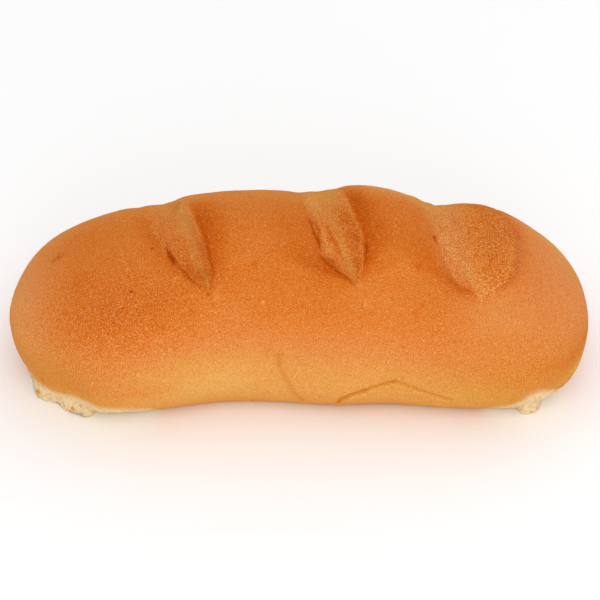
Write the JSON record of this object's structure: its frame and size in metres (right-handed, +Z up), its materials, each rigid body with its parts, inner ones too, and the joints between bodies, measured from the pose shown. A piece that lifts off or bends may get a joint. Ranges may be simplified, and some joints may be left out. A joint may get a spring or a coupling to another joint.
{
  "type": "steak roll",
  "caption": "Long soft bread roll with a golden-brown crust, slanted slashes across its top and torn pale crumb low at two corners.",
  "frame": {"origin": "centre of the box round the roll, at the height of its flat base", "axes": "+X along the roll, +Z up; -Y is the front, where the slashes run out to a point and the crumb is torn"},
  "size_m": [0.17, 0.0752, 0.0527],
  "materials": {
    "golden_crust": "soft baked crust, matte with a faint satin sheen, golden brown on top and paler towards the base"
  },
  "bodies": {
    "root": {"steak_roll": "golden_crust"}
  },
  "joints": []
}
